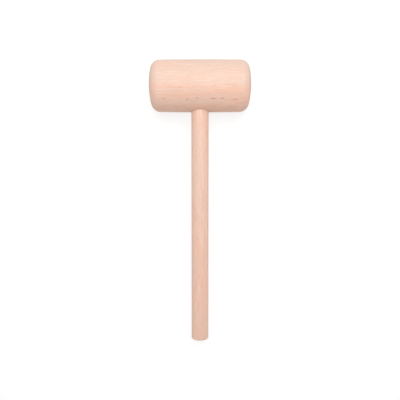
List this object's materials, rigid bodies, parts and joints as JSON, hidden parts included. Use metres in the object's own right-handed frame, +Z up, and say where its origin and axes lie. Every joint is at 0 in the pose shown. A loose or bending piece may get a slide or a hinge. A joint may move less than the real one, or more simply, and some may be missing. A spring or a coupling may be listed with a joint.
{
  "type": "wooden mallet",
  "caption": "Small pale beech mallet with a barrel-shaped turned head, domed striking faces and a plain round dowel handle, lying at rest.",
  "frame": {"origin": "on the table, under the middle of the mallet's box as it lies at rest", "axes": "+Z up from the table, +X along the head's axis, +Y from the handle's free end towards the head. The handle slopes down by 3.78 degrees towards -Y, so the belly of the head and the edge of the handle's end both touch Z = 0"},
  "size_m": [0.07, 0.196, 0.0354],
  "materials": {
    "beech_head": "unfinished, fine sanded",
    "beech_handle": "unfinished, fine sanded",
    "wood_glue": "satin"
  },
  "bodies": {
    "root": {"head": "beech_head", "handle": "beech_handle", "glue_film": "wood_glue"}
  },
  "joints": []
}
